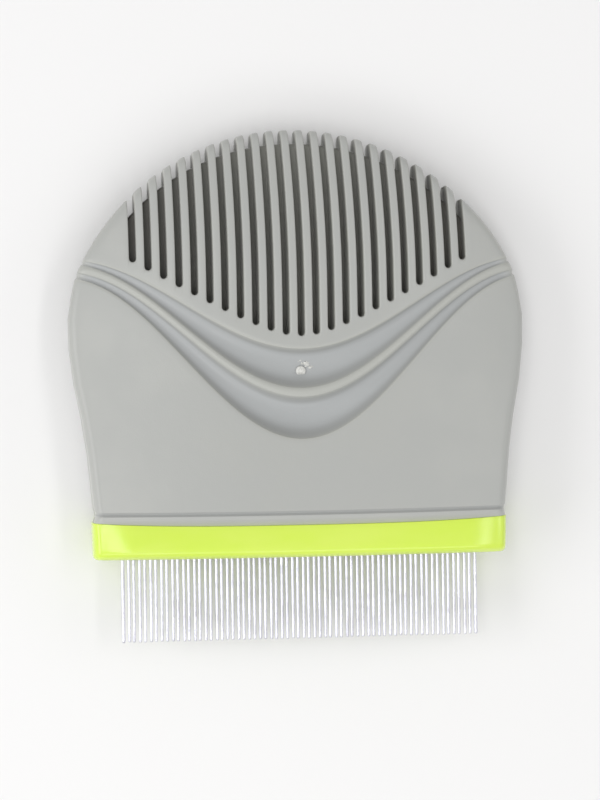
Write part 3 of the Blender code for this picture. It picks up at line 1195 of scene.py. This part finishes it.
    def pocket_end(self, x: float) -> float:
        """Where the core's pocket ends inside the grip.

        Args:
            x: Place across.

        Returns:
            The pocket's highest place along the comb.
        """
        outside = max(abs(x) - self.pocket_top_half_width, 0.0)
        run = self.pocket_half_width - self.pocket_top_half_width
        return blend_between(self.pocket_top, self.pocket_shoulder, min(outside / run, 1.0))

    def raise_parting(self, shape: bmesh.types.BMesh) -> None:
        """Raise the fine bead that the two halves of the mould leave at the mid-plane.

        Args:
            shape: The front half.
        """
        shape.normal_update()
        seam = [vert for vert in shape.verts if abs(vert.co.z) < MERGE_DISTANCE]
        for vert in seam:
            flat = Vector((vert.normal.x, vert.normal.y, 0.0))
            if flat.length > self.parting_upright:
                vert.co += flat.normalized() * self.parting

    def dent_gate(self, shape: bmesh.types.BMesh) -> None:
        """Dent the front of the upper groove, where the plastic was fed into the mould.

        Args:
            shape: The whole grip.
        """
        for vert in shape.verts:
            away = math.hypot(vert.co.x - self.gate[0], vert.co.y - self.gate[1])
            if vert.co.z > 0.0 and away < self.gate_reach:
                vert.co.z -= self.gate_depth * (1.0 - ramp(away, self.gate_flat, self.gate_reach))

    def make(self) -> bpy.types.Object:
        """Build and dress the grip.

        Returns:
            The grip's object.
        """
        return finish_piece("soft_grip", self.build(), self.finish.material("soft_touch_grey"),
                            ("grip",), self.half_thickness)

    def groove_floor(self, x: float, y: float) -> float:
        """Height of the upper groove's floor above the mid-plane.

        Args:
            x: Place across.
            y: Place along.

        Returns:
            The height.
        """
        low, high = self.wave(self.ridge_edge, x), self.wave(self.land_edge, x)
        row = Row(Band.UPPER_GROOVE, (y - low) / (high - low), 0.0)
        return self.crown(x, y) - self.groove_relief(row, x)[0]


@dataclass
class GateMark:
    """What is left of the moulding's gate: a short stub and a torn flake beside it."""

    grip: Grip
    stub_radius: float = 0.74
    stub_height: float = 0.5
    stub_sides: int = 28
    stub_taper: float = 1.08
    stub_down: float = 0.15
    stub_sink: float = 0.1
    stub_rounding: float = 0.14
    shear_down: float = 0.55
    shear_tilt: float = 0.25
    flake_count: int = 5
    flake_size: float = 0.42
    flake_sizes: Pair = (0.7, 1.15)
    flake_turns: Pair = (0.2, 1.2)
    flake_tilts: Pair = (-0.5, 0.5)
    flake_shape: Place = (1.25, 0.6, 0.3)
    heap_shift: Place = (0.75, 1.0, 0.22)
    heap_run: Pair = (1.5, -1.0)
    crumple_scale: float = 3.1
    crumple: float = 0.16
    sharp: float = 50.0
    seed: int = 7
    finish: TornPlastic = field(default_factory=TornPlastic)

    def make(self) -> bpy.types.Object:
        """Build and dress the mark.

        Returns:
            The mark's object.
        """
        x, y = self.grip.gate
        floor = self.grip.groove_floor(x, y) - self.grip.gate_depth
        shape = bmesh.new()
        middle = floor + self.stub_height / 2.0 - self.stub_sink
        self.add_stub(shape, Vector((x, y - self.stub_down, middle)))
        self.add_flakes(shape, Vector((x, y, floor)) + Vector(self.heap_shift))
        bmesh.ops.recalc_face_normals(shape, faces=shape.faces)
        return finish_piece("gate_mark", shape, self.finish.material("torn_grey"),
                            height=self.grip.half_thickness, sharp=self.sharp)

    def add_stub(self, shape: bmesh.types.BMesh, centre: Vector) -> None:
        """Add the stub: a short peg, sheared flat on the side towards the bar.

        Args:
            shape: The mark's bmesh.
            centre: The peg's middle.
        """
        made = bmesh.ops.create_cone(shape, cap_ends=True, segments=self.stub_sides,
                                     radius1=self.stub_radius * self.stub_taper,
                                     radius2=self.stub_radius,
                                     depth=self.stub_height, matrix=Matrix.Translation(centre))
        verts = made["verts"]
        peg = list({item for vert in verts for item in (vert, *vert.link_edges, *vert.link_faces)})
        shear = centre - Vector((0.0, self.shear_down, 0.0))
        cut = bmesh.ops.bisect_plane(shape, geom=peg, plane_co=shear,
                                     plane_no=(0.0, -1.0, self.shear_tilt),
                                     clear_outer=True)["geom_cut"]
        bmesh.ops.holes_fill(shape, edges=[e for e in cut if isinstance(e, bmesh.types.BMEdge)])
        top = centre.z + self.stub_height / 2.0 - MERGE_DISTANCE
        rim = [edge for edge in shape.edges if all(vert.co.z > top for vert in edge.verts)]
        bmesh.ops.bevel(shape, geom=rim, offset=self.stub_rounding, segments=3, profile=0.5,
                        affect="EDGES", material=-1)

    def add_flakes(self, shape: bmesh.types.BMesh, centre: Vector) -> None:
        """Add the torn flake, a heap of thin crumpled scraps.

        Args:
            shape: The mark's bmesh.
            centre: The heap's middle.
        """
        draw = random.Random(self.seed)
        noise.seed_set(self.seed)
        for index in range(self.flake_count):
            along = index / (self.flake_count - 1) - 0.5
            turn = Matrix.Rotation(draw.uniform(*self.flake_turns), 4, "Z")
            tilt = Matrix.Rotation(draw.uniform(*self.flake_tilts), 4, "X")
            size = self.flake_size * draw.uniform(*self.flake_sizes)
            step = Vector((along * self.heap_run[0] + draw.uniform(-0.1, 0.1),
                           along * self.heap_run[1] + draw.uniform(-0.15, 0.15),
                           draw.uniform(-0.05, 0.08)))
            place = Matrix.Translation(centre + step) @ turn @ tilt
            made = bmesh.ops.create_icosphere(
                shape, subdivisions=3, radius=size,
                matrix=place @ Matrix.Diagonal((*self.flake_shape, 1.0)))
            for vert in made["verts"]:
                vert.co += noise.noise_vector(vert.co * self.crumple_scale) * self.crumple


# ---------------------------------------------------------------------------------------------
# Comb bar
# ---------------------------------------------------------------------------------------------

BAR_ROWS = (0.0, 0.012, 0.035, 0.09, 0.2, 0.32, 0.44, 0.56, 0.66, 0.735, 0.8, 0.855, 0.9, 0.935,
            0.963, 0.984, 0.996, 1.0)
BAR_COLUMNS_BY_PIN = (-0.33, -0.165, 0.0, 0.165, 0.33, 0.5)
BAR_END_INSETS = (1.05, 0.75, 0.48, 0.26, 0.11, 0.03, 0.0)


@dataclass
class CombBar:
    """The gloss bar that holds the pins, with bowed long edges and a small collar at each pin."""

    grip: Grip
    pins: list[float]
    seam: float = 0.02
    drop_at_ends: float = 0.55
    drop_from: float = 26.0
    crease: float = 30.9
    crease_half: float = 0.12
    bulge: float = 0.16
    bulge_half_width: float = 2.6
    taper: float = 0.18
    lower_bow: float = 0.16
    corner: float = 0.62
    lower_width: float = 1.35
    lower_wall: float = 0.5
    end_width: float = 1.3
    end_wall: float = 0.45
    top_edge: float = 0.08
    channel_half_width: float = 29.2
    channel_half_thickness: float = 1.6
    channel_floor: float = 1.7
    beyond_channel: tuple[float, ...] = (29.8, 30.4)
    before_channel: float = 28.6
    wall_levels: tuple[float, ...] = (0.8, 0.5, 0.35, 0.2, 0.0)
    collar: float = 0.16
    collar_reach: float = 0.3
    finish: GlossLime = field(default_factory=GlossLime)

    def __post_init__(self) -> None:
        """Read the bar's box from the frame."""
        low, high = frame_box("comb_bar")
        self.low = low.y
        self.half_width = high.x
        self.half_thickness = (high.z - low.z) / 2.0
        self.middle = (high.z + low.z) / 2.0

    def top(self, x: float) -> float:
        """Upper edge of the bar, just under the grip's lip."""
        return self.grip.line(0, x) - self.seam

    def bottom(self, x: float) -> float:
        """Lower edge of the bar, bowed a little like its upper edge."""
        return self.low + self.lower_bow * (x / self.half_width) ** 2

    def columns(self) -> list[float]:
        """Places across the bar of its columns, crowded at the pins and at the ends.

        Returns:
            Their X, where the last on each side stands for the outline.
        """
        pitch = self.pins[1] - self.pins[0]
        across = [self.pins[0] - pitch / 2.0]
        across += [pin + pitch * share for pin in self.pins for share in BAR_COLUMNS_BY_PIN]
        outer = [self.before_channel, self.channel_half_width, *self.beyond_channel,
                 self.crease - self.crease_half, self.crease + self.crease_half,
                 *(self.half_width - step for step in BAR_END_INSETS)]
        return [-x for x in reversed(outer)] + across + outer

    def outline(self, x: float, y: float) -> float:
        """Half width of the bar, with its taper and its round corner.

        Args:
            x: Place across, for the bow of the two long edges.
            y: Place along.

        Returns:
            The half width.
        """
        down = (self.top(x) - y) / (self.top(x) - self.bottom(x))
        width = self.half_width + self.taper * (0.5 - down)
        return width - round_over(y - self.bottom(x), self.corner)

    def height(self, x: float, y: float, edge: float) -> float:
        """Height of the bar's face above the mid-plane.

        Args:
            x: Place across.
            y: Place along.
            edge: Half width of the outline there.

        Returns:
            The height.
        """
        run = max(abs(x) - self.drop_from, 0.0) / (self.crease - self.drop_from)
        face = self.half_thickness - self.drop_at_ends * min(run, 1.0) ** 2
        centre = (self.top(x) + self.bottom(x)) / 2.0
        face -= self.bulge * ((y - centre) / self.bulge_half_width) ** 2
        face *= wall_share(y - self.bottom(x), self.lower_width, self.lower_wall)
        face *= wall_share(edge - abs(x), self.end_width, self.end_wall)
        return face - round_over(self.top(x) - y, self.top_edge)

    def build(self) -> bmesh.types.BMesh:
        """Shape the bar's front half from a grid, then close, collar and mirror it.

        Returns:
            The bar's bmesh.
        """
        columns = self.columns()
        last_column, last_row = len(columns) - 1, len(BAR_ROWS) - 1
        shape = bmesh.new()
        bmesh.ops.create_grid(shape, x_segments=last_column, y_segments=last_row, size=1.0)
        for vert in shape.verts:
            x = columns[round((vert.co.x + 1.0) / 2.0 * last_column)]
            share = BAR_ROWS[round((1.0 - vert.co.y) / 2.0 * last_row)]
            y = blend_between(self.top(x), self.bottom(x), share)
            edge = self.outline(x, y)
            x *= 1.0 - (1.0 - edge / self.half_width) * ramp(abs(x), self.crease, self.half_width)
            vert.co = (x, y, self.height(x, y, edge))
        drop_walls(shape, (self.channel_half_thickness,))
        sink_channel(shape, self.on_mouth, lambda x: self.low + self.channel_floor)
        drop_walls(shape, self.wall_levels)
        self.add_collars(shape)
        mirror_front(shape)
        return shape

    def on_mouth(self, vert: bmesh.types.BMVert) -> bool:
        """Whether a vertex of the lowest open edge is on the mouth of the pins' channel."""
        at_top = vert.co.y > self.top(vert.co.x) - MERGE_DISTANCE
        return at_top and abs(vert.co.x) < self.channel_half_width + MERGE_DISTANCE

    def add_collars(self, shape: bmesh.types.BMesh) -> None:
        """Draw the lower wall out into a small collar round each pin.

        Args:
            shape: The bar's front half.
        """
        pitch = self.pins[1] - self.pins[0]
        for vert in shape.verts:
            wall = abs(vert.co.y - self.bottom(vert.co.x)) < MERGE_DISTANCE
            if not wall or abs(vert.co.x) > self.pins[-1] + pitch:
                continue
            nearest = min(self.pins, key=lambda pin: abs(vert.co.x - pin))
            away = math.hypot(vert.co.x - nearest, vert.co.z) / self.collar_reach
            vert.co.y -= self.collar * math.exp(-away ** 2)

    def make(self) -> bpy.types.Object:
        """Build and dress the bar.

        Returns:
            The bar's object.
        """
        return finish_piece("lime_bar", self.build(), self.finish.material("gloss_lime"),
                            ("comb_bar",), self.middle)


# ---------------------------------------------------------------------------------------------
# Pins
# ---------------------------------------------------------------------------------------------

@dataclass
class PinRow:
    """The row of steel pins, each two of them one bent wire."""

    count: int = 33
    sides: int = 16
    bend_steps: int = 8
    tip_rings: tuple[Pair, ...] = ((0.0, 0.34), (0.03, 0.62), (0.09, 0.84), (0.2, 0.96),
                                      (0.38, 1.0))
    leg_rings: int = 7
    end_pin_growth: float = 1.2
    end_pin_run: float = 8.0
    lean: float = 0.028
    lean_power: float = 1.6
    uneven: float = 0.05
    sharp: float = 60.0
    seed: int = 66
    finish: DrawnSteel = field(default_factory=DrawnSteel)

    def __post_init__(self) -> None:
        """Read the wires' places from the frame."""
        boxes = [frame_box(self.node(index)) for index in range(self.count)]
        low, high = boxes[0]
        self.radius = (high.z - low.z) / 2.0
        self.middle = (high.z + low.z) / 2.0
        self.tip = low.y
        self.crown = high.y
        self.legs = [(low.x + self.radius, high.x - self.radius) for low, high in boxes]
        self.bar_bottom = frame_box("comb_bar")[0].y

    def node(self, index: int) -> str:
        """Name of one wire's CAD node."""
        return f"hairpin_{index + 1:02d}"

    def places(self) -> list[float]:
        """Place across the comb of every pin."""
        return [x for pair in self.legs for x in pair]

    def build(self, index: int, draw: random.Random) -> bmesh.types.BMesh:
        """Sweep a circle from one tip up, round the bend and down to the other tip.

        Args:
            index: Which wire.
            draw: Source of the small leans.

        Returns:
            The wire's bmesh.
        """
        left, right = self.legs[index]
        half = (right - left) / 2.0
        centre = (left + right) / 2.0
        bend = self.crown - self.radius - half
        shape = bmesh.new()
        stand = Matrix.Translation((-half, self.tip, 0.0)) @ Matrix.Rotation(math.pi / 2.0, 4, "X")
        ring = bmesh.ops.create_circle(shape, cap_ends=True, segments=self.sides,
                                       radius=self.radius * self.tip_rings[0][1], matrix=stand)
        edges = list({edge for vert in ring["verts"] for edge in vert.link_edges})
        steps = [(self.tip + place, share) for place, share in self.tip_rings[1:]]
        leg_start = steps[-1][0]
        steps += [(blend_between(leg_start, bend, step / self.leg_rings), 1.0)
                  for step in range(1, self.leg_rings + 1)]
        for place, share in steps:
            edges = self.extrude_ring(shape, edges, Vector((-half, place, 0.0)), share)
        made = bmesh.ops.spin(shape, geom=edges, cent=(0.0, bend, 0.0), axis=(0.0, 0.0, 1.0),
                              angle=-math.pi, steps=self.bend_steps, use_merge=False)["geom_last"]
        edges = [item for item in made if isinstance(item, bmesh.types.BMEdge)]
        for place, share in reversed([(self.tip, self.tip_rings[0][1])] + steps[:-1]):
            edges = self.extrude_ring(shape, edges, Vector((half, place, 0.0)), share)
        bmesh.ops.contextual_create(shape, geom=edges)
        bmesh.ops.recalc_face_normals(shape, faces=shape.faces)
        self.lean_legs(shape, index, draw)
        bmesh.ops.translate(shape, verts=shape.verts, vec=(centre, 0.0, 0.0))
        return shape

    def extrude_ring(self, shape: bmesh.types.BMesh, edges: list[bmesh.types.BMEdge],
                     centre: Vector, share: float) -> list[bmesh.types.BMEdge]:
        """Extrude an open ring of the wire to its next station.

        Args:
            shape: The wire's bmesh.
            edges: The ring's edges.
            centre: Middle of the new ring.
            share: Its radius as a share of the wire's.

        Returns:
            The new ring's edges.
        """
        made = bmesh.ops.extrude_edge_only(shape, edges=edges)["geom"]
        for vert in (item for item in made if isinstance(item, bmesh.types.BMVert)):
            around = Vector((vert.co.x - centre.x, 0.0, vert.co.z))
            vert.co = centre + around.normalized() * self.radius * share
        return [item for item in made if isinstance(item, bmesh.types.BMEdge)
                and all(abs(vert.co.y - centre.y) < MERGE_DISTANCE for vert in item.verts)]

    def lean_legs(self, shape: bmesh.types.BMesh, index: int, draw: random.Random) -> None:
        """Give each leg its small lean and its own length, and the row's end pins more girth.

        Args:
            shape: The wire's bmesh, about its own middle.
            index: Which wire.
            draw: Source of the small leans.
        """
        free = self.bar_bottom - self.tip
        for side, is_end in ((-1.0, index == 0), (1.0, index == self.count - 1)):
            sideways = draw.gauss(0.0, self.lean)
            through = draw.gauss(0.0, self.lean)
            shorter = abs(draw.gauss(0.0, self.uneven))
            axis = side * (self.legs[index][1] - self.legs[index][0]) / 2.0
            for vert in (v for v in shape.verts if v.co.x * side > 0.0):
                down = max(self.bar_bottom - vert.co.y, 0.0) / free
                if is_end:
                    grown = min(down * self.end_pin_run, 1.0)
                    girth = blend_between(1.0, self.end_pin_growth, grown)
                    vert.co.x = axis + (vert.co.x - axis) * girth
                    vert.co.z *= girth
                vert.co += Vector((sideways, 0.0, through)) * down ** self.lean_power
                vert.co.y += shorter * down

    def make(self) -> list[bpy.types.Object]:
        """Build and dress every wire.

        Returns:
            The wires' objects.
        """
        draw = random.Random(self.seed)
        steel = self.finish.material("drawn_steel")
        return [finish_piece(f"pin_pair_{index + 1:02d}", self.build(index, draw), steel,
                             (self.node(index),), self.middle, self.sharp)
                for index in range(self.count)]


# ---------------------------------------------------------------------------------------------
# Core and studio
# ---------------------------------------------------------------------------------------------

@dataclass
class Core:
    """The stiff blade inside the grip, which keeps its CAD shape."""

    node: str = "handle_core"
    finish: DarkMoulding = field(default_factory=DarkMoulding)

    def dress(self) -> bpy.types.Object:
        """Give the blade its finish.

        Returns:
            The blade's object.
        """
        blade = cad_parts[self.node]
        blade.data.materials.clear()
        blade.data.materials.append(self.finish.material("core_dark_grey"))
        LOG.info("%s: dressed", self.node)
        return blade


@dataclass(frozen=True)
class SoftBox:
    """One soft area light that faces the comb."""

    name: str
    place: Place
    size: Pair
    energy: float
    tint: Colour = (1.0, 1.0, 1.0)


@dataclass
class Studio:
    """Pale floor, soft light and the camera above the comb."""

    target: Place = (0.36, -2.39, 6.2)
    shift: Place = (-50.1, 0.0, 396.9)
    roll: float = math.radians(0.87)
    lens: float = 115.5
    sensor: float = 36.0
    clip: Pair = (0.01, 20.0)
    floor_size: float = 6000.0
    sky: Colour = (1.0, 1.0, 1.0)
    sky_strength: float = 0.47
    boxes: tuple[SoftBox, ...] = (
        SoftBox("top_left_box", (-250.0, -100.0, 950.0), (900.0, 250.0), 2.25),
        SoftBox("top_right_box", (450.0, -40.0, 900.0), (900.0, 150.0), 1.2),
        SoftBox("left_box", (-640.0, -90.0, 380.0), (700.0, 360.0), 2.3),
        SoftBox("right_box", (680.0, 30.0, 380.0), (700.0, 360.0), 0.65, (1.0, 0.99, 0.97)),
        SoftBox("front_box", (0.0, -700.0, 620.0), (700.0, 300.0), 1.1, (0.98, 0.99, 1.0)),
    )
    finish: PaleFloor = field(default_factory=PaleFloor)

    def make_camera(self) -> bpy.types.Object:
        """Place the camera nearly straight above the comb, a little to its left.

        Returns:
            The camera.
        """
        data = bpy.data.cameras.new("camera")
        data.sensor_fit = "VERTICAL"
        data.sensor_height = self.sensor
        data.sensor_width = self.sensor
        data.lens = self.lens
        data.clip_start, data.clip_end = self.clip
        camera = bpy.data.objects.new("camera", data)
        back = Vector(self.shift).normalized()
        up = Vector((math.sin(self.roll), math.cos(self.roll), 0.0))
        right = up.cross(back).normalized()
        turn = Matrix((right, back.cross(right), back)).transposed().to_4x4()
        place = (Vector(self.target) + Vector(self.shift)) * MM
        camera.matrix_world = Matrix.Translation(place) @ turn
        bpy.context.scene.collection.objects.link(camera)
        bpy.context.scene.camera = camera
        return camera

    def make_floor(self) -> bpy.types.Object:
        """Lay the floor under the comb.

        Returns:
            The floor.
        """
        shape = bmesh.new()
        bmesh.ops.create_grid(shape, x_segments=1, y_segments=1, size=self.floor_size / 2.0 * MM)
        mesh = bpy.data.meshes.new("floor")
        shape.to_mesh(mesh)
        shape.free()
        mesh.materials.append(self.finish.material("pale_floor"))
        floor = bpy.data.objects.new("floor", mesh)
        bpy.context.scene.collection.objects.link(floor)
        return floor

    def make_lights(self) -> None:
        """Hang the soft boxes and fill the room with pale light."""
        for box in self.boxes:
            data = bpy.data.lights.new(box.name, "AREA")
            data.shape = "RECTANGLE"
            data.size, data.size_y = (side * MM for side in box.size)
            data.energy = box.energy
            data.color = box.tint
            light = bpy.data.objects.new(box.name, data)
            light.location = Vector(box.place) * MM
            light.rotation_euler = (-Vector(box.place)).to_track_quat("-Z", "Y").to_euler()
            bpy.context.scene.collection.objects.link(light)
        world = bpy.data.worlds.new("pale_room")
        world.use_nodes = True
        background = world.node_tree.nodes["Background"]
        background.inputs["Color"].default_value = (*self.sky, 1.0)
        background.inputs["Strength"].default_value = self.sky_strength
        bpy.context.scene.world = world

    def make(self) -> None:
        """Set up the camera, the floor, the lights and plain colour output."""
        self.make_camera()
        self.make_floor()
        self.make_lights()
        bpy.context.scene.view_settings.view_transform = "Standard"
        LOG.info("studio: ready")


def main() -> None:
    """Build the comb's pieces in order and report each."""
    logging.basicConfig(level=logging.INFO, format="%(name)s %(message)s")
    Studio().make()
    pins = PinRow()
    grip = Grip()
    grip.make()
    GateMark(grip).make()
    CombBar(grip, pins.places()).make()
    pins.make()
    Core().dress()


if __name__ == "__main__":
    main()
